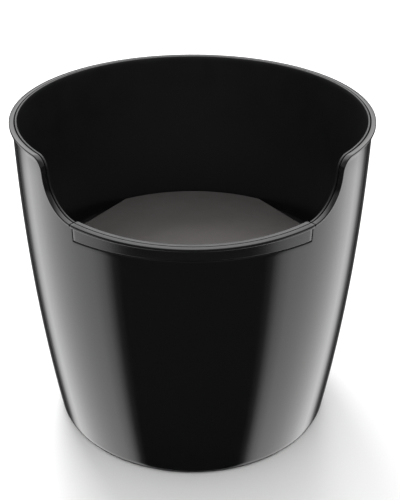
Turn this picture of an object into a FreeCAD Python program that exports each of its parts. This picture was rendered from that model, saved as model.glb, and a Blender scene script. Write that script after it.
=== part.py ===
"""Espresso knock box: a scooped outer shell, a lift-out bin with a rubber strip on its
front lip, a lift-out plate part-way down, and a weighted, screwed-on base.

Frame: +Z up, origin at the centre of the footprint on the worktop, front (scoop) at -Y.
All sizes in millimetres. Every wall follows one gentle arc, body_radius(z), and is given
by its radial offset from it: 0 is the outside of the shell, negative is inwards.
"""
import FreeCAD, Part
import math
import os
from functools import lru_cache

from FreeCAD import Vector

# ---- driving dimensions -------------------------------------------------------------
height = 161.0                # worktop to the top of the rim
rim_radius = 85.0             # outside of the rolled rim
lip_overhang = 1.4            # how far the rolled rim stands out past the shell
lip_depth = 1.3               # height of the rolled rim

body_top_radius = rim_radius - lip_overhang
body_base_radius = 71.9
body_bulge = 3.15             # how far the wall's middle stands out from a straight taper

# ---- scoop in the front rim, laid out flat: s along the rim, z up ----------------------
scoop_drop = 27.2             # rim top down to the lowest point of the front lip
lip_half_width = 53.3         # half the nearly level front lip, measured along the rim
lip_sag_radius = 725.0        # the front lip dips very slightly in the middle
scoop_bottom_radius = 19.0    # round corner from the lip up to the side of the scoop
scoop_top_radius = 6.5        # round shoulder from the side of the scoop to the rim
scoop_side_angle = math.radians(84.0)

# ---- walls and fits -----------------------------------------------------------------------
shell_wall = 1.0
bin_wall = 1.4
bin_edge = 0.9                # the bin's wall is thinner along its rim
bin_edge_height = 3.0
bin_gap = 0.3                 # clearance between the shell and the lift-out bin
lip_gap = 0.3                 # clearance between the strip's skirt and the notch below it
snug = 0.05                   # clearance between pieces pressed or laid together
bin_outer = -(shell_wall + bin_gap)
bin_inner = bin_outer - bin_wall
bin_corner = 7.0              # round corner between the bin's floor and its lower wall

# ---- base stack, from the worktop up -----------------------------------------------------
foot_stand = 0.8              # how far the foot ring stands below the cover
cover_edge = 1.2              # the cover's edge that shows under the shell
seam = 0.2                    # fine gap between the cover's edge and the shell
cover_top = 4.0
ballast_thickness = 5.0
ballast_pad_thickness = 2.0
shell_floor = 2.0
buffer_thickness = 1.6
shell_bottom = foot_stand + cover_edge + seam
floor_under = cover_top + ballast_thickness + ballast_pad_thickness
floor_top = floor_under + shell_floor
bin_bottom = floor_top + buffer_thickness

edge_bevel = 0.5
foot_width = 8.0
foot_inset = 4.0              # from the cover's edge in to the foot ring
foot_outer_radius = body_base_radius - foot_inset
foot_inner_radius = foot_outer_radius - foot_width
foot_groove = 1.0             # depth of the foot ring's groove in the cover
screw_count = 4
screw_radius = 1.4
screw_length = 7.0
screw_head_radius = 2.8
screw_head_height = 1.8
screw_recess = (3.2, 0.7, 0.8)    # length, width and depth of each arm of the cross
screw_circle = foot_inner_radius - screw_head_radius - 3.2
boss_radius = 3.4
ballast_radius = screw_circle - boss_radius - 1.0
ballast_bore = 9.0            # radius of the hole that keeps the disc centred
hub_clearance = 0.4

buffer_circle = 48.0
buffer_radius = 6.0
buffer_count = 4

# ---- plate and its ledge --------------------------------------------------------------
plate_top = 81.0
plate_thickness = 2.5
plate_gap = 0.4               # clearance round the plate's arcs
plate_pad_thickness = 1.2
plate_pad_size = (9.0, 5.0, 1.2)  # along the plate's edge, across it, and in from it
flat_depth = 8.3              # the gap between the middle of each flat and the bin's wall
flat_direction = math.radians(56.0)   # each flat's normal, measured from front and back
plate_edge = 0.5              # bevel round the top of the plate
ledge_width = 3.6
ledge_top = plate_top - plate_thickness - plate_pad_thickness

# ---- knock strip ---------------------------------------------------------------------------
strip_half_width = 55.2       # half the strip's length, measured along the rim
skirt_drop = 6.2              # lowest lip edge down to the bottom of the outer skirt
inner_leg = 0.7               # rubber on the inside of the bin's wall
cap_thickness = 1.5           # rubber above the top of the bin's wall
core_thickness = 0.6
core_margin = 4.4             # the core stops this far short of each end of the strip
core_bottom_margin = 1.0
strip_end_gap = 0.25
strip_groove = 0.5            # depth of the groove that carries on the gap between the rims
rivet_radius = 0.8
rivet_head_radius = 1.4
rivet_head_height = 0.4
rivet_angles = (-24.0, 0.0, 24.0)

FAR = 60.0                    # cutting tools reach this far past the object
lip_level = height - scoop_drop
skirt_bottom = lip_level - skirt_drop
strip_half_angle = strip_half_width / rim_radius
notch_half_angle = strip_half_angle + strip_end_gap / rim_radius


# ---- the body's arc and rings that follow it ----------------------------------------------
def body_arc():
    """Centre and radius of the circle through the body's base, middle and top."""
    middle = (body_base_radius + body_top_radius) / 2 + body_bulge
    base, mid, top = (body_base_radius, 0.0), (middle, height / 2), (body_top_radius, height)
    circle = Part.Arc(*[Vector(r, 0, z) for r, z in (base, mid, top)]).toShape().Curve
    return circle.Center.x, circle.Center.z, circle.Radius


ARC_R, ARC_Z, ARC_RADIUS = body_arc()


def body_radius(z):
    return ARC_R + math.sqrt(ARC_RADIUS ** 2 - (z - ARC_Z) ** 2)


def wall_edge(offset, z0, z1):
    """The body's arc, shifted by offset, between two heights, in the XZ plane."""
    points = [Vector(body_radius(z) + offset, 0, z) for z in (z0, (z0 + z1) / 2, z1)]
    return Part.Arc(*points).toShape()


def line(p, q):
    return Part.LineSegment(Vector(*p), Vector(*q)).toShape()


def revolve(edges):
    face = Part.Face(Part.Wire(Part.__sortEdges__(edges)))
    return face.revolve(Vector(0, 0, 0), Vector(0, 0, 1), 360)


def ring(inner, outer, z0, z1):
    """A wall between two offsets and two heights, all the way round."""
    a, b = wall_edge(inner, z0, z1), wall_edge(outer, z0, z1)
    ends = [line((body_radius(z) + inner, 0, z), (body_radius(z) + outer, 0, z)) for z in (z0, z1)]
    return revolve([a, b] + ends)


def filled(offset, z0, z1, corner):
    """A solid plug whose side follows the body's arc, with its lower edge rounded."""
    plug = revolve([wall_edge(offset, z0, z1),
                    line((0, 0, z0), (body_radius(z0) + offset, 0, z0)),
                    line((0, 0, z1), (body_radius(z1) + offset, 0, z1)),
                    line((0, 0, z0), (0, 0, z1))])
    return plug.makeFillet(corner, ring_edges(plug, z0))


def ring_edges(shape, z):
    """The full circles of a shape at one height."""
    return [e for e in shape.Edges if e.Closed and abs(e.CenterOfMass.z - z) < 0.01]


def disc(radius, z0, z1, x=0.0, y=0.0):
    return Part.makeCylinder(radius, z1 - z0, Vector(x, y, z0))


def around(count, radius, start=0.0):
    """Points evenly spaced on a circle."""
    turns = [start + 2 * math.pi * i / count for i in range(count)]
    return [(radius * math.cos(a), radius * math.sin(a)) for a in turns]


def join(shapes):
    first, rest = shapes[0], shapes[1:]
    return first.fuse(rest).removeSplitter() if rest else first


# ---- the scooped rim line -----------------------------------------------------------------
def rim_line(drop, steps=10):
    """Half of the rim line laid flat, lowered by drop: front lip, corner, side, shoulder.

    Each stretch is an arc about its own centre. Lowering the line makes the hollow arcs
    larger and the shoulder smaller, so every copy stays parallel to the first.
    """
    sag, corner, shoulder = lip_sag_radius + drop, scoop_bottom_radius + drop, scoop_top_radius - drop
    tilt = math.asin(lip_half_width / lip_sag_radius)
    sag_z = lip_level + lip_sag_radius
    points = [(sag * math.sin(a), sag_z - sag * math.cos(a))
              for a in (tilt * i / steps for i in range(steps))]

    corner_s = lip_half_width - scoop_bottom_radius * math.sin(tilt)
    corner_z = sag_z - (lip_sag_radius - scoop_bottom_radius) * math.cos(tilt)
    for i in range(steps + 1):
        a = tilt + (scoop_side_angle - tilt) * i / steps
        points.append((corner_s + corner * math.sin(a), corner_z - corner * math.cos(a)))

    side_s = corner_s + scoop_bottom_radius * math.sin(scoop_side_angle)
    side_z = corner_z - scoop_bottom_radius * math.cos(scoop_side_angle)
    shoulder_z = height - scoop_top_radius
    rise = shoulder_z + scoop_top_radius * math.cos(scoop_side_angle) - side_z
    side_s += rise / math.tan(scoop_side_angle)
    shoulder_s = side_s + scoop_top_radius * math.sin(scoop_side_angle)
    for i in range(steps + 1):
        a = scoop_side_angle * (1 - i / steps)
        points.append((shoulder_s - shoulder * math.sin(a), shoulder_z + shoulder * math.cos(a)))
    return points


def fan_wire(drop, depth):
    """The space above the rim line, drawn on a plane that faces the front at this depth."""
    half = rim_line(drop)
    full = [(-s, z) for s, z in reversed(half[1:])] + half
    points = [Vector(depth * math.tan(s / rim_radius), -depth, z) for s, z in full]
    curve = Part.BSplineCurve()
    curve.interpolate(Points=points, Parameters=[float(i) for i in range(len(points))])
    side = depth * math.tan(math.radians(68.0))
    above = height + FAR
    low_left, low_right = points[0], points[-1]
    corners = [low_right, Vector(side, -depth, low_right.z), Vector(side, -depth, above),
               Vector(-side, -depth, above), Vector(-side, -depth, low_left.z), low_left]
    sides = [Part.LineSegment(p, q).toShape() for p, q in zip(corners, corners[1:])]
    return Part.Wire([curve.toShape()] + sides)


@lru_cache(maxsize=None)
def above_rim(drop):
    """Everything above the rim line lowered by drop: a fan at the front, a block behind."""
    near, far = 0.45 * rim_radius, rim_radius + 8.0
    fan = Part.makeLoft([fan_wire(drop, near), fan_wire(drop, far)], True, True)
    width = 2 * (rim_radius + FAR)
    block = Part.makeBox(width, width / 2 + near, FAR, Vector(-width / 2, -near, height - drop))
    return fan.fuse(block)


def front_wedge(half_angle, z0=0.0):
    """A pie slice about the front, from height z0 up."""
    reach = rim_radius + FAR
    corners = [Vector(0, 0, z0)]
    for i in range(5):
        a = half_angle * (i / 2 - 1)
        corners.append(Vector(reach * math.sin(a), -reach * math.cos(a), z0))
    return Part.Face(Part.makePolygon(corners + corners[:1])).extrude(Vector(0, 0, height + FAR))


def rolled_rim(inner):
    """A bar along the rim, from an inner offset out to where it stands past the shell."""
    bar = ring(inner, lip_overhang, lip_level - FAR / 4, height + 5.0)
    return bar.common(above_rim(lip_depth)).cut(above_rim(0.0))


# ---- fixed body ----------------------------------------------------------------------------
def make_outer_shell():
    wall = ring(-shell_wall, 0.0, shell_bottom, height).cut(above_rim(lip_depth / 2))
    wall = join([wall, rolled_rim(-shell_wall)])
    wall = wall.cut(front_wedge(notch_half_angle, skirt_bottom - lip_gap))
    floor = disc(body_radius(floor_under) - shell_wall / 2, floor_under, floor_top)
    bosses = [disc(boss_radius, cover_top, floor_under + 0.5, x, y) for x, y in screw_points()]
    hub = disc(ballast_bore - hub_clearance, cover_top + 1.0, floor_under + 0.5)
    shell = join([wall, floor, hub] + bosses)
    pilots = [disc(screw_radius, cover_top - 1.0, cover_top + screw_length, x, y)
              for x, y in screw_points()]
    return shell.cut(Part.makeCompound(pilots))


def screw_points():
    return around(screw_count, screw_circle, math.pi / 4)


def make_base_cover():
    plate = disc(body_radius(shell_bottom) - shell_wall - 0.2, foot_stand, cover_top)
    edge = disc(body_radius(foot_stand) - 0.2, foot_stand, foot_stand + cover_edge)
    cover = join([plate, edge.makeChamfer(edge_bevel, ring_edges(edge, foot_stand))])
    groove = disc(foot_outer_radius + snug, 0, foot_stand + foot_groove).cut(
        disc(foot_inner_radius - snug, 0, foot_stand + foot_groove))
    cover = cover.cut(groove)
    for x, y in screw_points():
        cover = cover.cut(disc(screw_radius + 0.1, 0, cover_top + 1, x, y))
        cover = cover.cut(disc(screw_head_radius + 0.3, 0, foot_stand + screw_head_height + 0.2, x, y))
    return cover


def make_foot_ring():
    top = foot_stand + foot_groove - snug
    body = disc(foot_outer_radius, 0, top).cut(disc(foot_inner_radius, 0, top))
    return body.makeFillet(edge_bevel, ring_edges(body, 0.0))


def make_base_screws():
    screws = []
    head_under = foot_stand + 0.2
    length, width, depth = screw_recess
    for x, y in screw_points():
        head = disc(screw_head_radius, head_under, head_under + screw_head_height, x, y)
        shank = disc(screw_radius - snug, head_under + depth, cover_top + screw_length - 0.6, x, y)
        screw = join([head, shank])
        for a, b in ((length, width), (width, length)):
            screw = screw.cut(Part.makeBox(a, b, depth, Vector(x - a / 2, y - b / 2, head_under)))
        screws.append(screw)
    return Part.makeCompound(screws)


def make_ballast():
    body = disc(ballast_radius, cover_top, cover_top + ballast_thickness)
    body = body.cut(disc(ballast_bore, 0, floor_top))
    return body.makeChamfer(0.4, [e for e in body.Edges if e.Closed])


def make_ballast_pad():
    z0 = cover_top + ballast_thickness
    return disc(ballast_radius - 2.0, z0, floor_under).cut(disc(ballast_bore, 0, floor_top))


def make_bin_buffers():
    pads = []
    for x, y in around(buffer_count, buffer_circle):
        pad = disc(buffer_radius, floor_top, bin_bottom, x, y)
        pads.append(pad.makeFillet(edge_bevel, ring_edges(pad, bin_bottom)))
    return Part.makeCompound(pads)


# ---- lift-out bin -------------------------------------------------------------------------
def bin_walls():
    """The bin without its rim: a narrower lower cup, the ledge, and the upper wall."""
    low = bin_outer - ledge_width
    shelf_under = ledge_top - bin_wall
    cup = filled(low, bin_bottom, ledge_top, bin_corner)
    cup = cup.cut(filled(low - bin_wall, bin_bottom + bin_wall, ledge_top + 1, bin_corner - bin_wall))
    shelf = ring(low - bin_wall, bin_outer, shelf_under, ledge_top)
    upper = ring(bin_inner, bin_outer, shelf_under, height + 5.0)
    return join([cup, shelf, upper])


def make_inner_bin():
    under_strip = above_rim(cap_thickness).common(front_wedge(notch_half_angle))
    inside_edge = ring(bin_inner - 1.0, bin_outer - bin_edge, lip_level - FAR / 4, height + 5.0)
    inside_edge = inside_edge.common(above_rim(bin_edge_height)).cut(front_wedge(notch_half_angle))
    bin_body = bin_walls().cut(above_rim(0.0)).cut(under_strip).cut(inside_edge)
    holes = [rivet_cylinder(angle, rivet_radius + snug, bin_inner - 1, bin_outer + 1)
             for angle in rivet_angles]
    return bin_body.cut(Part.makeCompound(holes))


def rivet_cylinder(angle, radius, offset0, offset1):
    """A radial pin at a front angle, between two wall offsets."""
    z = (skirt_bottom + core_bottom_margin + lip_level - cap_thickness) / 2
    out = Vector(math.sin(math.radians(angle)), -math.cos(math.radians(angle)), 0)
    start = out * (body_radius(z) + offset0) + Vector(0, 0, z)
    return Part.makeCylinder(radius, offset1 - offset0, start, out)


def core_solid(grow):
    """The steel core, or with grow its pocket in the rubber."""
    half_angle = strip_half_angle - (core_margin - grow) / rim_radius
    z0 = skirt_bottom + core_bottom_margin - grow
    band = ring(bin_outer + snug - grow, bin_outer + snug + core_thickness + grow, z0, height)
    return band.cut(above_rim(cap_thickness + 0.2 - grow)).common(front_wedge(half_angle))


def make_strip_core():
    core = core_solid(0.0)
    holes = [rivet_cylinder(angle, rivet_radius + snug, bin_inner, 1.0) for angle in rivet_angles]
    return core.cut(Part.makeCompound(holes))


def make_core_rivets():
    rivets = []
    for angle in rivet_angles:
        shank = rivet_cylinder(angle, rivet_radius, bin_inner - rivet_head_height,
                               bin_outer + core_thickness)
        head = rivet_cylinder(angle, rivet_head_radius, bin_inner - rivet_head_height - snug,
                              bin_inner - snug)
        rivets.append(join([shank, head]))
    return Part.makeCompound(rivets)


def make_knock_strip():
    sector = front_wedge(strip_half_angle)
    inner = bin_inner - inner_leg
    skirt = ring(inner, 0.0, skirt_bottom, height).cut(above_rim(lip_depth / 2))
    channel = ring(bin_inner - snug, bin_outer + snug, skirt_bottom - 1, height)
    channel = channel.cut(above_rim(cap_thickness - snug))
    groove = ring(bin_outer, -shell_wall, lip_level - 1, height + 5.0).common(above_rim(strip_groove))
    strip = join([rolled_rim(inner), skirt]).common(sector)
    strip = strip.cut(channel).cut(groove).cut(core_solid(snug))
    heads = [rivet_cylinder(angle, rivet_head_radius + snug, bin_inner - rivet_head_height - 2 * snug,
                            bin_inner + 0.2) for angle in rivet_angles]
    return strip.cut(Part.makeCompound(heads))


# ---- lift-out plate ------------------------------------------------------------------------
def make_knock_plate():
    z0 = plate_top - plate_thickness
    wall = body_radius(z0) + bin_inner
    plate = disc(wall - plate_gap, z0, plate_top)
    half = wall - flat_depth
    for turn in (flat_direction, -flat_direction):
        between = Part.makeBox(2 * half, 2 * rim_radius, plate_thickness, Vector(-half, -rim_radius, z0))
        between.rotate(Vector(0, 0, 0), Vector(0, 0, 1), 90 - math.degrees(turn))
        plate = plate.common(between)
    upper = [e for e in plate.Edges if all(abs(v.Z - plate_top) < 0.01 for v in e.Vertexes)]
    return plate.makeChamfer(plate_edge, upper)


def make_plate_pads():
    z1 = plate_top - plate_thickness
    along, across, inset = plate_pad_size
    reach = body_radius(z1) + bin_inner - plate_gap - inset
    pads = []
    for i in range(4):
        pad = Part.makeBox(across, along, plate_pad_thickness,
                           Vector(reach - across, -along / 2, ledge_top))
        pad = pad.makeFillet(1.0, [e for e in pad.Edges if abs(e.Vertexes[0].Z - e.Vertexes[1].Z) > 0.5])
        pad.rotate(Vector(0, 0, 0), Vector(0, 0, 1), 90 * i)
        pads.append(pad)
    return Part.makeCompound(pads)


MAKERS = {
    "outer_shell": make_outer_shell,
    "base_cover": make_base_cover,
    "foot_ring": make_foot_ring,
    "base_screws": make_base_screws,
    "ballast": make_ballast,
    "ballast_pad": make_ballast_pad,
    "bin_buffers": make_bin_buffers,
    "inner_bin": make_inner_bin,
    "strip_core": make_strip_core,
    "core_rivets": make_core_rivets,
    "knock_strip": make_knock_strip,
    "knock_plate": make_knock_plate,
    "plate_pads": make_plate_pads,
}


def main():
    os.makedirs("parts", exist_ok=True)
    for name, maker in MAKERS.items():
        shape = maker()
        box = shape.optimalBoundingBox(False, False)
        print("%-12s solids %d  valid %s  volume %.1f cm3  z %.2f..%.2f  x %.1f..%.1f" % (
            name, len(shape.Solids), shape.isValid(), shape.Volume / 1000,
            box.ZMin, box.ZMax, box.XMin, box.XMax))
        shape.exportStep("parts/%s.step" % name)


main()
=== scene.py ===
# %% [markdown]
# # An espresso knock box
# The box is a glossy tapered bucket with a wide scoop cut out of its front rim. A loose black bin hangs
# inside it, a rubber strip covers the front lip, and a grey plate lies half-way down the bin.
# The imported model comes first. It is the fixed frame that every new piece is fitted to, and its box is
# kept now.

# %% Load the frame
import math

import bpy
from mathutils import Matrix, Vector


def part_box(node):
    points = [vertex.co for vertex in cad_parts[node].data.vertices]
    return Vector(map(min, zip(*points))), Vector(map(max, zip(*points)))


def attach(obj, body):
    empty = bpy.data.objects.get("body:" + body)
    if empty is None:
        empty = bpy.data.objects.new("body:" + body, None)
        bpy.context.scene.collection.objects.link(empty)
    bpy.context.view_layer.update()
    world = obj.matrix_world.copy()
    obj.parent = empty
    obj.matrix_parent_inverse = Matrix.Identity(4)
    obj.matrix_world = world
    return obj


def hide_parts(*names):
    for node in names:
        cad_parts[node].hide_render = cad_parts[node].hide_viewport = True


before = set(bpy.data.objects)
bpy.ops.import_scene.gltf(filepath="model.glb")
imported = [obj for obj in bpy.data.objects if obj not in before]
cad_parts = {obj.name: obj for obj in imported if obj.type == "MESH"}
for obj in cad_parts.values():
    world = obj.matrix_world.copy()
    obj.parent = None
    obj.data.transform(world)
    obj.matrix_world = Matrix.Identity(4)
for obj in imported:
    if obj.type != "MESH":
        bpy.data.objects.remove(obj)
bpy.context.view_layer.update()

# %% [markdown]
# ## Sizes
# A few sizes drive everything. Those that a whole CAD piece shows are read from its box; the rest are the
# maker's own values, in metres. An offset is measured outwards from the side of the bucket, so the bin's
# offsets are negative. One set of named values keeps the shell, the bin and the strip in step: change the
# thickness of one wall, and what fits against it follows.

# %% Driving sizes
MM = 0.001
swell = 0.02 * MM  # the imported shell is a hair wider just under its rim
rim_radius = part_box("outer_shell")[1].x - swell
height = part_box("outer_shell")[1].z
bin_floor_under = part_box("inner_bin")[0].z
shell_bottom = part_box("outer_shell")[0].z
skirt_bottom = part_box("knock_strip")[0].z
plate_under, plate_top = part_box("knock_plate")[0].z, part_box("knock_plate")[1].z
plate_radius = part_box("knock_plate")[1].x
ledge_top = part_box("plate_pads")[0].z
shell_floor_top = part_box("bin_buffers")[0].z
shell_floor_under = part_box("ballast_pad")[1].z

lip_overhang = 1.4 * MM
lip_depth = 1.3 * MM
shell_wall = 1.0 * MM
fine_gap = 0.3 * MM
snug = 0.05 * MM
bin_outer = -(shell_wall + fine_gap)
bin_wall = 1.4 * MM
bin_edge = 0.9 * MM
bin_inner = bin_outer - bin_wall
ledge_width = 3.6 * MM
inner_leg = 0.7 * MM
cap_thickness = 1.5 * MM
strip_half = 55.2 * MM
strip_end_gap = 0.25 * MM
notch_half = strip_half + strip_end_gap
flat_direction = math.radians(56.0)
flat_depth = 7.9 * MM

scoop_drop = 27.2 * MM
lip_half_width = 53.3 * MM
lip_sag_radius = 725.0 * MM
scoop_bottom_radius = 19.0 * MM
scoop_top_radius = 6.5 * MM
scoop_side_angle = math.radians(84.0)

body_base_radius = 71.9 * MM
body_bulge = 3.15 * MM
body_top_radius = rim_radius - lip_overhang
lip_level = height - scoop_drop

same_place = 0.01 * MM
weld_distance = 0.005 * MM
print("rim radius %.1f mm, height %.1f mm" % (rim_radius / MM, height / MM))

# %% [markdown]
# ## The body's arc
# The side of the bucket is part of a very large circle through three points: the base, the middle, which
# stands out a little from a straight taper, and the top. A curve object could hold the same line, but a
# function that gives the radius at any height can be asked by every piece that touches the wall.

# %% Radius of the body at a height
def arc_through(points):
    """Centre and radius of the circle through three points in a plane."""
    (ax, ay), (bx, by), (cx, cy) = points
    d = 2 * (ax * (by - cy) + bx * (cy - ay) + cx * (ay - by))
    a2, b2, c2 = ax * ax + ay * ay, bx * bx + by * by, cx * cx + cy * cy
    x = (a2 * (by - cy) + b2 * (cy - ay) + c2 * (ay - by)) / d
    y = (a2 * (cx - bx) + b2 * (ax - cx) + c2 * (bx - ax)) / d
    return x, y, math.hypot(ax - x, ay - y)


middle_radius = (body_base_radius + body_top_radius) / 2 + body_bulge
ARC_R, ARC_Z, ARC_RADIUS = arc_through(
    [(body_base_radius, 0.0), (middle_radius, height / 2), (body_top_radius, height)])


def body_radius(z):
    """Radius of the outside of the bucket at a height."""
    return ARC_R + math.sqrt(ARC_RADIUS ** 2 - (z - ARC_Z) ** 2)


print("radius at the base, middle and top in mm:",
      [round(body_radius(z) / MM, 2) for z in (0.0, height / 2, height)])

# %% [markdown]
# ## The rim line, laid flat
# The rim dips at the front into a nearly level lip, with a round hollow corner and a round shoulder at each
# side. Rolled round the bucket that is a hard line to draw, but laid flat it is four plain arcs. So the
# walls are modelled flat, like a label before it is wrapped round a jar, and rolled up at the end. Lowering
# the line keeps every arc's centre, so the lowered line stays parallel: that gives each wall its own edge.

# %% Half of the rim line
def rim_line(drop, fine=MM):
    """Points (s along the rim, z) from the middle of the front to the shoulder, lowered by drop."""
    tilt = math.asin(lip_half_width / lip_sag_radius)
    sag_z = lip_level + lip_sag_radius
    corner_s = lip_half_width - scoop_bottom_radius * math.sin(tilt)
    corner_z = sag_z - (lip_sag_radius - scoop_bottom_radius) * math.cos(tilt)
    side_s = corner_s + scoop_bottom_radius * math.sin(scoop_side_angle)
    side_z = corner_z - scoop_bottom_radius * math.cos(scoop_side_angle)
    shoulder_z = height - scoop_top_radius
    rise = shoulder_z + scoop_top_radius * math.cos(scoop_side_angle) - side_z
    shoulder_s = side_s + rise / math.tan(scoop_side_angle) + scoop_top_radius * math.sin(scoop_side_angle)

    lip, corner, shoulder = (int(length / fine) for length in (
        lip_half_width / 2, scoop_bottom_radius * scoop_side_angle, 2 * scoop_top_radius * scoop_side_angle))
    points = []
    for i in range(lip):
        a = tilt * i / lip
        reach = lip_sag_radius + drop
        points.append((reach * math.sin(a), sag_z - reach * math.cos(a)))
    for i in range(corner + 1):
        a = tilt + (scoop_side_angle - tilt) * i / corner
        reach = scoop_bottom_radius + drop
        points.append((corner_s + reach * math.sin(a), corner_z - reach * math.cos(a)))
    for i in range(shoulder + 1):
        a = scoop_side_angle * (1 - i / shoulder)
        reach = scoop_top_radius - drop
        points.append((shoulder_s - reach * math.sin(a), shoulder_z + reach * math.cos(a)))
    return points


def behind(drop, step=2 * MM):
    """Points of the level rim from the shoulder round to the middle of the back."""
    start, end = rim_line(drop)[-1][0], math.pi * rim_radius
    count = int((end - start) / step)
    return [(start + (end - start) * i / count, height - drop) for i in range(1, count + 1)]


def mirrored(points):
    """The line and its mirror image, from the far left to the far right."""
    return [(-s, z) for s, z in reversed(points)] + points[1 if points[0][0] == 0 else 0:]


def split_line(drop):
    """The lowered line in two parts that share a point at the notch's end: front, then side and back."""
    line = rim_line(drop) + behind(drop)
    cut = next(i for i, (s, z) in enumerate(rim_line(0.0)) if s > notch_half + 0.5 * MM)
    (s0, z0), (s1, z1) = line[cut - 2], line[cut]
    corner = (notch_half, z0 + (z1 - z0) * (notch_half - s0) / (s1 - s0))
    return line[:cut - 1] + [corner], [corner] + line[cut:]


def level(line, z):
    """The same columns, brought to one height."""
    return [(s, z) for s, _ in line]


print("rim line: %d points from the front to the shoulder" % len(rim_line(0.0)))

# %% [markdown]
# ## Helpers: selecting, sheets and rolling up
# These helpers do what hands do in the window: make one object active, pick the faces or edges that a tool
# should act on, run modifiers, lay out a sheet, and roll it up. A sheet starts as a plain grid whose columns
# are slid onto two lines, so its faces run along the rim instead of cutting across it, and gloss
# shows no dents. In a flat piece x runs along the rim, z is up and -y is outwards.

# %% Selecting and modifying
def activate(piece):
    """Leave edit mode, and make one piece the only selected and the active one."""
    if bpy.context.object and bpy.context.object.mode != "OBJECT":
        bpy.ops.object.mode_set(mode="OBJECT")
    bpy.ops.object.select_all(action="DESELECT")
    piece.select_set(True)
    bpy.context.view_layer.objects.active = piece


def clear_selection():
    """Deselect everything, so that the next tool acts on the new piece only."""
    bpy.ops.object.select_all(action="DESELECT")


def pick(piece, kind, wanted, group=None):
    """In edit mode, select the VERT, EDGE or FACE items whose corner points pass a test.

    With a group, at least one corner must belong to it too.
    """
    activate(piece)
    bpy.ops.object.mode_set(mode="EDIT")
    bpy.ops.mesh.select_mode(type=kind)
    bpy.ops.mesh.select_all(action="DESELECT")
    bpy.ops.object.mode_set(mode="OBJECT")
    mesh = piece.data
    number = piece.vertex_groups[group].index if group else None
    members = {v.index for v in mesh.vertices if any(g.group == number for g in v.groups)}
    items = {"VERT": mesh.vertices, "EDGE": mesh.edges, "FACE": mesh.polygons}[kind]
    count = 0
    for item in items:
        ids = [item.index] if kind == "VERT" else list(item.vertices)
        belongs = not group or not members.isdisjoint(ids)
        item.select = belongs and bool(wanted([mesh.vertices[i].co for i in ids]))
        count += item.select
    bpy.ops.object.mode_set(mode="EDIT")
    return count


def modify(piece, kind, **settings):
    """Add a modifier, set it and apply it."""
    activate(piece)
    bpy.ops.object.modifier_add(type=kind)
    modifier = piece.modifiers[-1]
    for name, value in settings.items():
        setattr(modifier, name, value)
    bpy.ops.object.modifier_apply(modifier=modifier.name)


# %% Flat sheets
def flat_sheet(name, top_line, bottom_line, rows, outside):
    """A grid whose top and bottom edges follow two lines, at one offset outside the body's arc."""
    columns = len(top_line) - 1
    clear_selection()
    bpy.ops.mesh.primitive_grid_add(x_subdivisions=columns, y_subdivisions=rows, size=1.0)
    piece = bpy.context.object
    piece.name = name
    for v in piece.data.vertices:
        i, share = round((v.co.x + 0.5) * columns), v.co.y + 0.5
        (s0, z0), (s1, z1) = bottom_line[i], top_line[i]
        v.co = (s0 + (s1 - s0) * share, -outside, z0 + (z1 - z0) * share)
    return piece


def both_sides(name, top, bottom, rows, outside):
    """A sheet from the notch round to the back, and its mirror image on the left."""
    flipped = [[(-s, z) for s, z in reversed(line)] for line in (top, bottom)]
    return [flat_sheet(name, top, bottom, rows, outside), flat_sheet(name, *flipped, rows, outside)]


def mark_rim(band):
    """Put the upper corners of a one-row band in a group called rim."""
    count = len(band.data.vertices)
    band.vertex_groups.new(name="rim").add(list(range(count // 2, count)), 1.0, "REPLACE")


def join_into(first, others):
    """Join other pieces into the first one, which keeps its name."""
    activate(first)
    for other in others:
        other.select_set(True)
    bpy.ops.object.join()


# %% Rolling up and welding
def roll_up(piece):
    """Wrap a flat piece round the body: x becomes an angle from the front, -y an offset."""
    for v in piece.data.vertices:
        angle, radius = v.co.x / rim_radius, body_radius(v.co.z) - v.co.y
        v.co = (radius * math.sin(angle), -radius * math.cos(angle), v.co.z)


def close_seam(piece):
    """Open the two ends that will meet at the back, so that a weld can close them."""
    back = math.pi * rim_radius
    pick(piece, "FACE", lambda c: all(abs(abs(p.x) - back) < same_place for p in c))
    bpy.ops.mesh.delete(type="FACE")
    bpy.ops.object.mode_set(mode="OBJECT")


def weld(piece):
    """Merge the corners that lie on top of each other."""
    pick(piece, "VERT", lambda c: True)
    bpy.ops.mesh.remove_doubles(threshold=weld_distance)
    bpy.ops.object.mode_set(mode="OBJECT")


def smooth(piece, degrees=35.0):
    """Shade a piece smooth, but keep every edge sharper than an angle crisp."""
    activate(piece)
    bpy.ops.object.shade_smooth_by_angle(angle=math.radians(degrees))


def report(piece):
    """Print a piece's face count and its box in millimetres."""
    low = [min(v.co[i] for v in piece.data.vertices) / MM for i in range(3)]
    high = [max(v.co[i] for v in piece.data.vertices) / MM for i in range(3)]
    print("%s: %d faces, from %s to %s mm" % (piece.name, len(piece.data.polygons),
                                              [round(v, 1) for v in low], [round(v, 1) for v in high]))


# %% [markdown]
# ## Shell
# The shell is one thin gloss moulding. A turned bucket with the scoop cut away by a boolean would be
# quicker, but its cut edge would cross the faces at random, and gloss shows every dent of that. So the wall
# is laid flat in three bands whose columns meet. The lowest band goes all the way round, up to the bottom of
# the notch that the strip's skirt is let into. The next one rises beside the notch to just under the rim,
# and the last is the narrow band at the rim itself. Welded and thickened, the narrow band is pulled outwards
# to make the rolled edge, and a small bevel softens every corner.

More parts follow.
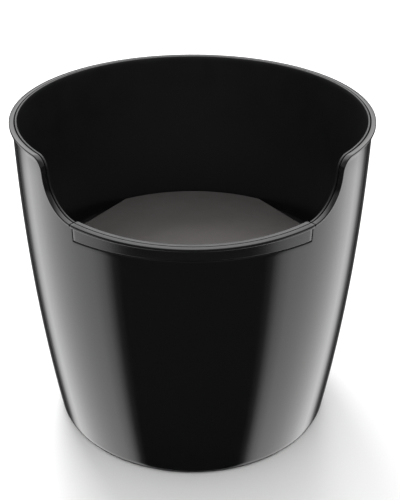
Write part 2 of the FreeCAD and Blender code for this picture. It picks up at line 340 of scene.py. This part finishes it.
# %% Shell wall
shell_round = 0.38 * MM
shell_rows, beside_rows = 64, 12
front, side = split_line(lip_depth)
rim_side = split_line(0.0)[1]
notch_level = skirt_bottom - fine_gap
wall_columns = mirrored(front + side[1:])
shell = flat_sheet("gloss_shell", level(wall_columns, notch_level), level(wall_columns, shell_bottom),
                   shell_rows, 0.0)
beside_notch = both_sides("beside", side, level(side, notch_level), beside_rows, 0.0)
edge_bands = both_sides("edge", rim_side, side, 1, 0.0)
for band in edge_bands:
    mark_rim(band)
join_into(shell, beside_notch + edge_bands)
weld(shell)
modify(shell, "SOLIDIFY", thickness=shell_wall, offset=-1.0)
rolled_faces = pick(shell, "FACE", lambda c: all(abs(p.y) < same_place for p in c), "rim")
bpy.ops.mesh.extrude_region_move(TRANSFORM_OT_translate={"value": (0, -lip_overhang, 0)})
bpy.ops.object.mode_set(mode="OBJECT")
close_seam(shell)
modify(shell, "BEVEL", width=shell_round, segments=4, limit_method="ANGLE", angle_limit=math.radians(60),
       use_clamp_overlap=False)
roll_up(shell)
weld(shell)
print("faces pulled out into the rolled edge:", rolled_faces)
report(shell)

# %% [markdown]
# The shell's floor, the hub that keeps the ballast central and the four screw bosses under the floor are
# turned shapes. Each is a cylinder whose edges are rounded, and they are joined to the wall. Only the floor
# is ever seen, when the bin is lifted out, so plain rounded cylinders say enough.

# %% Shell floor, hub and bosses
def turned(name, radius, low, high, edge, x=0.0, y=0.0, sides=96):
    """A cylinder with rounded top and bottom edges."""
    clear_selection()
    bpy.ops.mesh.primitive_cylinder_add(vertices=sides, radius=radius, depth=high - low,
                                        location=(x, y, (low + high) / 2))
    piece = bpy.context.object
    piece.name = name
    bpy.ops.object.transform_apply(location=True, rotation=True, scale=True)
    modify(piece, "BEVEL", width=edge, segments=3, limit_method="ANGLE", angle_limit=math.radians(60))
    return piece


hub_radius, boss_radius, screw_head_radius = 8.6 * MM, 3.4 * MM, 2.8 * MM
floor_round, boss_round = 0.3 * MM, 0.2 * MM
boss_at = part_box("base_screws")[1].x - screw_head_radius
cover_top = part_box("base_cover")[1].z
into_floor = shell_floor_under + 0.5 * MM
floor_disc = turned("shell_floor", body_radius(shell_floor_under) - shell_wall / 2,
                    shell_floor_under, shell_floor_top, floor_round, sides=192)
hub = turned("shell_hub", hub_radius, cover_top + 1.0 * MM, into_floor, floor_round)
bosses = [turned("shell_boss", boss_radius, cover_top, into_floor, boss_round, x * boss_at, y * boss_at, 48)
          for x in (-1, 1) for y in (-1, 1)]
join_into(shell, [floor_disc, hub] + bosses)
smooth(shell)
report(shell)
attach(shell, "shell")
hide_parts("outer_shell")

# %% [markdown]
# ## Bin
# The lift-out bin holds the coffee. Its wall is rolled up like the shell's, because its rim follows the same
# line. It is thinner along its rim, and ends a little lower where the strip sits on it. Below the ledge
# that carries the plate is a narrower cup. The cup is the same all round, so it is turned, as on a lathe:
# half its outline is drawn and spun round the axis.

# %% Bin wall
bin_round = 0.22 * MM
bin_rows = 40
into_ledge = ledge_top - 0.6 * MM
low_front, low_side = split_line(cap_thickness)
bin_columns = mirrored(low_front + low_side[1:])
bin_piece = flat_sheet("satin_bin", bin_columns, level(bin_columns, into_ledge), bin_rows, bin_outer)
edge_bands = both_sides("bin_edge", rim_side, low_side, 1, bin_outer)
for band in edge_bands:
    mark_rim(band)
join_into(bin_piece, edge_bands)
weld(bin_piece)
modify(bin_piece, "SOLIDIFY", thickness=bin_wall, offset=-1.0)
inner_corners = pick(bin_piece, "VERT", lambda c: c[0].y > bin_wall / 2 - bin_outer, "rim")
bpy.ops.transform.translate(value=(0, bin_edge - bin_wall, 0))
bpy.ops.object.mode_set(mode="OBJECT")
close_seam(bin_piece)
modify(bin_piece, "BEVEL", width=bin_round, segments=3, limit_method="ANGLE",
       angle_limit=math.radians(60), use_clamp_overlap=False)
roll_up(bin_piece)
weld(bin_piece)
print("corners drawn in along the thin edge:", inner_corners)
report(bin_piece)


# %% Bin cup and ledge
def quarter(center_r, center_z, radius, start, end, count=8):
    """Points of an arc in the half outline, between two angles in degrees."""
    turns = [math.radians(start + (end - start) * i / count) for i in range(count + 1)]
    return [(center_r + radius * math.cos(a), center_z + radius * math.sin(a)) for a in turns]


def along_wall(offset, z0, z1, count=12):
    """Points of the half outline that follow the body's arc between two heights."""
    heights = [z0 + (z1 - z0) * i / count for i in range(count + 1)]
    return [(body_radius(z) + offset, z) for z in heights]


def spun(name, outline, steps=192):
    """Spin a closed half outline, given as (radius, z) points, about the upright axis."""
    clear_selection()
    bpy.ops.mesh.primitive_circle_add(vertices=len(outline), radius=1.0, fill_type="NOTHING")
    piece = bpy.context.object
    piece.name = name
    for v, (r, z) in zip(piece.data.vertices, outline):
        v.co = (max(r, 0.0), 0.0, z)
    pick(piece, "VERT", lambda c: True)
    bpy.ops.mesh.spin(steps=steps, angle=2 * math.pi, center=(0, 0, 0), axis=(0, 0, 1))
    bpy.ops.mesh.select_all(action="SELECT")
    bpy.ops.mesh.remove_doubles(threshold=weld_distance)
    bpy.ops.mesh.normals_make_consistent(inside=False)
    bpy.ops.object.mode_set(mode="OBJECT")
    return piece


heel = 7.0 * MM
inner_heel = heel - bin_wall
cup_outer = bin_outer - ledge_width
cup_inner = cup_outer - bin_wall
shelf_under = ledge_top - bin_wall
shelf_r, ledge_r = body_radius(shelf_under), body_radius(ledge_top)
hollow, edge = 1.0 * MM, 0.4 * MM
heel_z, cup_floor = bin_floor_under + heel, bin_floor_under + bin_wall
heel_r = body_radius(heel_z) + cup_outer - heel
cup_outline = (
    [(0.0, bin_floor_under)]
    + quarter(heel_r, heel_z, heel, -90, -4)
    + along_wall(cup_outer, heel_z + MM, shelf_under - hollow)
    + quarter(shelf_r + cup_outer + hollow, shelf_under - hollow, hollow, 180, 90, 4)
    + [(shelf_r + bin_outer - edge, shelf_under),
       (shelf_r + bin_outer, shelf_under + edge),
       (ledge_r + bin_outer, ledge_top),
       (ledge_r + bin_inner - 0.1 * MM, ledge_top)]
    + quarter(ledge_r + cup_inner + edge, ledge_top - edge, edge, 90, 180, 4)
    + list(reversed(along_wall(cup_inner, heel_z + MM, ledge_top - MM)))
    + list(reversed(quarter(heel_r, cup_floor + inner_heel, inner_heel, -90, -4)))
    + [(0.0, cup_floor)])
cup = spun("bin_cup", cup_outline)
join_into(bin_piece, [cup])
smooth(bin_piece)
report(bin_piece)
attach(bin_piece, "bin")
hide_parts("inner_bin")

# %% [markdown]
# ## Knock strip
# The rubber strip takes the blows. Across its width it is a hook: a cap over the bin's wall with the same
# rolled edge as the shell's, a groove that carries on the gap between shell and bin, a skirt outside that
# lies flush with the shell, and a thin leg inside. A section swept along a curve would give it too, but it
# would tilt at the lip's dip. So the section is drawn once and extruded step by step in a straight line, its
# ends are rounded, and then it is raised to follow the lip and rolled up like the walls.

# %% The strip's section and rise
def hook_outline():
    """The strip's section as (offset outwards, z) points, with z measured at the middle of the front."""
    top, inner = lip_level, bin_inner - inner_leg
    outer_round, inner_round, skirt_round = 0.45 * MM, 0.25 * MM, 0.3 * MM
    under, groove_floor, chamfer = top - lip_depth, top - 0.5 * MM, 0.1 * MM
    channel_top = top - cap_thickness + snug
    groove = [(bin_outer - chamfer, top), (bin_outer, top - chamfer), (bin_outer, groove_floor),
              (-shell_wall, groove_floor), (-shell_wall, top - chamfer), (chamfer - shell_wall, top)]
    return (quarter(inner + inner_round, top - inner_round, inner_round, 180, 90, 4)
            + groove
            + quarter(lip_overhang - outer_round, top - outer_round, outer_round, 90, 0, 5)
            + quarter(lip_overhang - outer_round, under + outer_round, outer_round, 0, -90, 5)
            + quarter(skirt_round, under - skirt_round, skirt_round, 90, 180, 3)
            + quarter(-skirt_round, skirt_bottom + skirt_round, skirt_round, 0, -90, 3)
            + [(bin_outer + snug, skirt_bottom), (bin_outer + snug, channel_top),
               (bin_inner - snug, channel_top), (bin_inner - snug, skirt_bottom)]
            + quarter(inner + inner_round, skirt_bottom + inner_round, inner_round, -90, -180, 3))


lip_line = rim_line(0.0)


def rim_height(s):
    """Height of the rim line at a distance from the middle of the front."""
    (s0, z0), (s1, z1) = next((p, q) for p, q in zip(lip_line, lip_line[1:]) if q[0] >= abs(s))
    return z0 + (z1 - z0) * (abs(s) - s0) / (s1 - s0)


print("rise of the rim at the strip's end: %.1f mm" % ((rim_height(strip_half) - lip_level) / MM))

# %% Knock strip
section = hook_outline()
strip_steps = 72
clear_selection()
bpy.ops.mesh.primitive_circle_add(vertices=len(section), radius=1.0, fill_type="NGON")
strip = bpy.context.object
strip.name = "rubber_strip"
for v, (offset, z) in zip(strip.data.vertices, section):
    v.co = (-strip_half, -offset, z)
pick(strip, "FACE", lambda c: True)
for step in range(strip_steps):
    bpy.ops.mesh.extrude_region_move(
        TRANSFORM_OT_translate={"value": (2 * strip_half / strip_steps, 0, 0)})
bpy.ops.object.mode_set(mode="OBJECT")
ends = pick(strip, "FACE", lambda c: len(c) == len(section))
bpy.ops.mesh.region_to_loop()
bpy.ops.mesh.bevel(offset=0.08 * MM, segments=2, affect="EDGES")
bpy.ops.mesh.select_all(action="SELECT")
bpy.ops.mesh.normals_make_consistent(inside=False)
bpy.ops.object.mode_set(mode="OBJECT")
for v in strip.data.vertices:
    rise = rim_height(v.co.x) - lip_level
    v.co.z += rise * (v.co.z - skirt_bottom) / (lip_level - skirt_bottom)
roll_up(strip)
smooth(strip, 40)
report(strip)
print("end faces of the strip:", ends)
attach(strip, "bin")
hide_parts("knock_strip")

# %% [markdown]
# ## Plate
# The grey plate is a flat disc with four flats cut off it, which leave room for a fingertip and let liquid
# run past. A boolean with four blocks would cut it too, but a bisect needs no spare pieces and fills each
# cut with one clean face. It starts as a cylinder, the flats are bisected away, and its edges get a fine
# round.

# %% Plate
flat_reach = plate_radius - flat_depth
clear_selection()
bpy.ops.mesh.primitive_cylinder_add(vertices=256, radius=plate_radius, depth=plate_top - plate_under,
                                    location=(0, 0, (plate_top + plate_under) / 2))
plate = bpy.context.object
plate.name = "grey_plate"
bpy.ops.object.transform_apply(location=True, rotation=True, scale=True)
for right in (-1, 1):
    for back in (-1, 1):
        outward = Vector((right * math.sin(flat_direction), back * math.cos(flat_direction), 0.0))
        pick(plate, "VERT", lambda c: True)
        bpy.ops.mesh.bisect(plane_co=outward * flat_reach, plane_no=outward, use_fill=True, clear_outer=True)
        bpy.ops.object.mode_set(mode="OBJECT")
modify(plate, "BEVEL", width=0.5 * MM, segments=4, limit_method="ANGLE", angle_limit=math.radians(20))
smooth(plate, 30)
report(plate)
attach(plate, "plate")
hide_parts("knock_plate")

# %% [markdown]
# ## Finishes
# Every finish is a small node tree on the Principled shader. Even black plastic is never perfectly even:
# a slow noise changes the roughness a little, as handling and moulding do, and a fine noise gives bump. An
# image would do this too, but noise on the piece's own coordinates needs no file and no unwrapping, and it
# has no seam at the back.

# %% Finish helpers
def new_finish(name, color, roughness, ior=1.5):
    """A plain Principled finish, ready to be varied."""
    material = bpy.data.materials.new(name)
    material.use_nodes = True
    shader = material.node_tree.nodes["Principled BSDF"]
    shader.inputs["Base Color"].default_value = (*color, 1.0)
    shader.inputs["Roughness"].default_value = roughness
    shader.inputs["IOR"].default_value = ior
    return material


def add_node(material, kind, **inputs):
    """A new node in a finish, with some of its inputs set by name."""
    node = material.node_tree.nodes.new(kind)
    for name, value in inputs.items():
        node.inputs[name].default_value = value
    return node


def noise_on(material, scale, detail=3.0, stretch=(1.0, 1.0, 1.0)):
    """Noise in the piece's own coordinates; scale is in features per metre."""
    links = material.node_tree.links
    coordinates = add_node(material, "ShaderNodeTexCoord")
    mapping = add_node(material, "ShaderNodeMapping", Scale=stretch)
    noise = add_node(material, "ShaderNodeTexNoise", Scale=scale, Detail=detail)
    links.new(coordinates.outputs["Object"], mapping.inputs["Vector"])
    links.new(mapping.outputs["Vector"], noise.inputs["Vector"])
    return noise.outputs["Fac"]


def vary(material, socket, factor, low, high):
    """Drive one of the shader's inputs between two values, or two colours, by a factor."""
    links = material.node_tree.links
    shader = material.node_tree.nodes["Principled BSDF"]
    ramp = add_node(material, "ShaderNodeValToRGB")
    ramp.color_ramp.elements[0].position = 0.3
    ramp.color_ramp.elements[1].position = 0.7
    for element, value in zip(ramp.color_ramp.elements, (low, high)):
        element.color = (*value, 1.0) if isinstance(value, tuple) else (value, value, value, 1.0)
    links.new(factor, ramp.inputs["Fac"])
    links.new(ramp.outputs["Color"], shader.inputs[socket])


def bump(material, factor, distance):
    """Raise and lower the surface by a factor, up to a distance in metres."""
    links = material.node_tree.links
    shader = material.node_tree.nodes["Principled BSDF"]
    node = add_node(material, "ShaderNodeBump", Strength=1.0, Distance=distance)
    links.new(factor, node.inputs["Height"])
    links.new(node.outputs["Normal"], shader.inputs["Normal"])


def paint(piece, material):
    """Give a piece one finish all over."""
    piece.data.materials.clear()
    piece.data.materials.append(material)


# %% [markdown]
# The shell is a mirror-like black with a low, slightly uneven roughness, and the bin is the same black with
# a satin grain. The rubber reflects less than plastic, so its index of refraction is lower. The plate is a
# warm grey with a faint cloudiness.

# %% Gloss black, satin black, rubber and grey plate
gloss_black = new_finish("gloss black moulding", (0.0055, 0.0055, 0.0057), 0.06)
vary(gloss_black, "Roughness", noise_on(gloss_black, 40.0, 4.0), 0.05, 0.10)
bump(gloss_black, noise_on(gloss_black, 160.0, 2.0), 0.004 * MM)

satin_black = new_finish("satin black moulding", (0.007, 0.007, 0.0073), 0.35)
vary(satin_black, "Roughness", noise_on(satin_black, 90.0), 0.30, 0.40)
bump(satin_black, noise_on(satin_black, 2600.0, 2.0), 0.02 * MM)

strip_rubber = new_finish("dense black rubber", (0.007, 0.007, 0.0073), 0.2, 1.42)
vary(strip_rubber, "Roughness", noise_on(strip_rubber, 200.0), 0.16, 0.24)
bump(strip_rubber, noise_on(strip_rubber, 1800.0, 3.0), 0.012 * MM)

plate_grey = new_finish("warm grey plate", (0.13, 0.125, 0.12), 0.45)
vary(plate_grey, "Base Color", noise_on(plate_grey, 60.0, 5.0), (0.118, 0.110, 0.107), (0.128, 0.120, 0.117))
vary(plate_grey, "Roughness", noise_on(plate_grey, 140.0), 0.40, 0.52)
bump(plate_grey, noise_on(plate_grey, 3000.0, 2.0), 0.015 * MM)

paint(shell, gloss_black)
paint(bin_piece, satin_black)
paint(strip, strip_rubber)
paint(plate, plate_grey)
print("finishes:", ", ".join(m.name for m in (gloss_black, satin_black, strip_rubber, plate_grey)))

# %% [markdown]
# The pieces that are mostly hidden keep their CAD shape, because nothing finer would be seen of them. They
# get a finish of their own: the matte cover under the box, soft rubber feet, buffers and pads, a foam disc,
# zinc-plated screws and rivets, the steel ballast and the strip's core.

# %% Finishes of the carried-over pieces
cover_black = new_finish("matte cover", (0.012, 0.012, 0.0125), 0.55)
vary(cover_black, "Roughness", noise_on(cover_black, 150.0), 0.48, 0.62)
bump(cover_black, noise_on(cover_black, 2400.0, 2.0), 0.02 * MM)

soft_rubber = new_finish("soft foot rubber", (0.020, 0.020, 0.021), 0.75)
vary(soft_rubber, "Roughness", noise_on(soft_rubber, 300.0), 0.65, 0.85)
bump(soft_rubber, noise_on(soft_rubber, 2000.0, 4.0), 0.02 * MM)

foam = new_finish("closed-cell foam", (0.05, 0.05, 0.05), 0.9)
vary(foam, "Base Color", noise_on(foam, 900.0, 4.0), (0.035, 0.035, 0.035), (0.065, 0.065, 0.065))
bump(foam, noise_on(foam, 1400.0, 3.0), 0.1 * MM)

zinc = new_finish("zinc-plated steel", (0.55, 0.56, 0.58), 0.3)
zinc.node_tree.nodes["Principled BSDF"].inputs["Metallic"].default_value = 1.0
vary(zinc, "Roughness", noise_on(zinc, 700.0), 0.24, 0.42)

rolled_steel = new_finish("rolled steel", (0.30, 0.30, 0.31), 0.5)
rolled_steel.node_tree.nodes["Principled BSDF"].inputs["Metallic"].default_value = 1.0
vary(rolled_steel, "Roughness", noise_on(rolled_steel, 300.0, 3.0, (1.0, 8.0, 1.0)), 0.40, 0.65)

carried_over = (("base_cover", cover_black), ("foot_ring", soft_rubber), ("bin_buffers", soft_rubber),
                ("plate_pads", soft_rubber), ("ballast_pad", foam), ("base_screws", zinc),
                ("core_rivets", zinc), ("strip_core", rolled_steel), ("ballast", rolled_steel))
for node, finish in carried_over:
    paint(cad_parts[node], finish)
print("carried-over pieces with a finish:", len(carried_over))

# %% [markdown]
# ## Studio
# A pale floor, a broad soft light overhead, and soft surroundings. Black gloss shows no colour of its own,
# only what it mirrors. White cards and black flags on stands would do what a photographer does, but they
# would stand in the way of a view from behind. So the surroundings are drawn as a ring of brightness: black
# in front of the box, rising softly to a bright band at each side, with a dark edge before the white behind.
# The floor is kept out of the mirror image, because it would hide the lower half of that ring.

# %% Floor and overhead light
clear_selection()
bpy.ops.mesh.primitive_plane_add(size=40.0, location=(0, 0, 0))
floor = bpy.context.object
floor.name = "studio_floor"
floor_white = new_finish("pale floor", (0.86, 0.86, 0.86), 0.35, 1.8)
paint(floor, floor_white)
floor.visible_glossy = False

overhead = bpy.data.objects.new("overhead", bpy.data.lights.new("overhead", "AREA"))
overhead.data.shape, overhead.data.size, overhead.data.energy = "SQUARE", 0.7, 18.0
bpy.context.scene.collection.objects.link(overhead)
overhead.location = (-0.35, 0.95, 1.2)
overhead.rotation_euler = (Vector((0, 0, 0.1)) - overhead.location).to_track_quat("-Z", "Y").to_euler()
overhead.visible_glossy = False
print("overhead light: %.1f m wide, %.0f W" % (overhead.data.size, overhead.data.energy))


# %% [markdown]
# The surroundings are a node tree too. Its first sum turns a direction into a number from 0, straight in
# front of the box, to 1, straight behind it, and is the same on the left and the right. One ramp turns that
# number into a brightness for directions below the horizon, and another for those above. A third dims both
# towards the horizon. Only mirror reflections see the ring; everything else is lit by an even white.

# %% Surroundings
def air(kind, **settings):
    """A new node in the surroundings' tree; inputs are given by number, as i0, i1 and so on."""
    node = world.node_tree.nodes.new(kind)
    for name, value in settings.items():
        if name[0] == "i" and name[1:].isdigit():
            socket = node.inputs[int(name[1:])]
            if isinstance(value, bpy.types.NodeSocket):
                world.node_tree.links.new(value, socket)
            else:
                socket.default_value = value
        else:
            setattr(node, name, value)
    return node


def sums(operation, first, second=0.0):
    """The result of one sum."""
    return air("ShaderNodeMath", operation=operation, i0=first, i1=second).outputs[0]


def ramp(factor, stops, most):
    """Brightness by position, between (position, brightness) stops."""
    node = air("ShaderNodeValToRGB", i0=factor)
    elements = node.color_ramp.elements
    while len(elements) < len(stops):
        elements.new(0.5)
    for element, (position, value) in zip(elements, stops):
        element.position = position
        element.color = (value / most, value / most, value / most, 1.0)
    return sums("MULTIPLY", node.outputs["Color"], most)


def choose(switch, off, on):
    """One value or the other, by a switch that is 0 or 1."""
    return air("ShaderNodeMix", data_type="FLOAT", i0=switch, i2=off, i3=on).outputs[0]


world = bpy.data.worlds.new("studio_air")
world.use_nodes = True
background = world.node_tree.nodes["Background"]
background.inputs["Color"].default_value = (1.0, 1.0, 1.0, 1.0)
direction = air("ShaderNodeSeparateXYZ", i0=air("ShaderNodeTexCoord").outputs["Generated"])
x, y, z = direction.outputs
across = sums("ARCTAN2", sums("ABSOLUTE", x), sums("MULTIPLY", y, -1.0))
turn = sums("DIVIDE", across, math.pi)
brightest = 4.0
dark_front = [(0.0, 0.0), (0.27, 0.0), (0.30, 0.15)]
side_band = [(0.345, 1.3), (0.39, 1.8), (0.45, 1.9), (0.54, 2.1), (0.65, 2.4), (0.71, 2.3), (0.745, 1.5)]
dark_edge = [(0.785, 0.3), (0.82, 0.04), (0.88, 0.1)]
white_behind = [(0.93, 0.7), (1.0, 1.0)]
below = ramp(turn, dark_front + side_band + dark_edge + white_behind, brightest)
above = ramp(turn, [(0.0, 0.3), (0.45, 0.4), (0.75, 2.4), (1.0, 2.6)], brightest)
off_horizon = ramp(sums("ABSOLUTE", z), [(0.0, 0.03), (0.24, 0.03), (0.42, 1.0)], 1.0)
ring = sums("MULTIPLY", choose(sums("GREATER_THAN", z), below, above), off_horizon)
path = air("ShaderNodeLightPath").outputs
even_white = 1.15
strength = choose(path["Is Glossy Ray"], even_white, ring)
world.node_tree.links.new(strength, background.inputs["Strength"])
bpy.context.scene.world = world
bpy.context.scene.view_settings.view_transform = "Standard"
print("surroundings: %d nodes" % len(world.node_tree.nodes))

# %% [markdown]
# ## Camera
# The camera looks down at the front of the box, by about thirty degrees, from half a metre away. Its place
# is given in rim radii, so that a larger box fills the frame in the same way. A long lens keeps the taper of
# the bucket calm, and the small shifts slide the picture sideways and up without turning the camera.

# %% Camera
camera_back, camera_up = 4.6853 * rim_radius, 3.6847 * rim_radius
camera_pitch = math.radians(29.86)
camera_data = bpy.data.cameras.new("camera")
camera_data.sensor_width, camera_data.lens = 36.0, 64.63
camera_data.shift_x, camera_data.shift_y = 0.0151, 0.0025
camera = bpy.data.objects.new("camera", camera_data)
bpy.context.scene.collection.objects.link(camera)
camera.location = (0.0, -camera_back, camera_up)
camera.rotation_euler = (math.pi / 2 - camera_pitch, 0.0, 0.0)
bpy.context.scene.camera = camera
print("camera: %.0f mm from the axis, %.0f mm up, pitched down by %.1f degrees" % (
    camera_back / MM, camera_up / MM, math.degrees(camera_pitch)))
